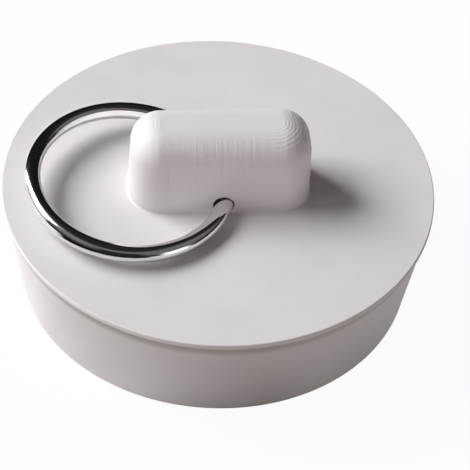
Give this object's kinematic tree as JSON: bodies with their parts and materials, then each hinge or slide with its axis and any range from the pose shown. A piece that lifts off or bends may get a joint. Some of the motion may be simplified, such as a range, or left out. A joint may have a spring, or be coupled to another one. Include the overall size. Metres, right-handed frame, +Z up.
{
  "type": "drain stopper",
  "caption": "Tapered white rubber drain plug with a thin lip and a rounded lug on top, lifted by a swinging chrome wire ring through the lug.",
  "frame": {"origin": "middle of the plug's base, on the surface that it stands on", "axes": "+Z up through the lug, +X along the lug away from the resting ring, Y roughly along the bore"},
  "size_m": [0.05, 0.05, 0.0231],
  "materials": {
    "white_rubber": "moulded white rubber, satin, with faint tool marks",
    "chrome_wire": "bright chrome plating on bent wire"
  },
  "bodies": {
    "plug": {"stopper_body": "white_rubber"},
    "ring": {"pull_ring": "chrome_wire"}
  },
  "joints": [
    {"name": "ring_swing", "type": "hinge", "parent": "plug", "child": "ring", "pos_m": [-0.00021, 0, 0.01466], "axis": [-0.106, 0.993, 0.0522], "range_deg": [0, 172]}
  ]
}
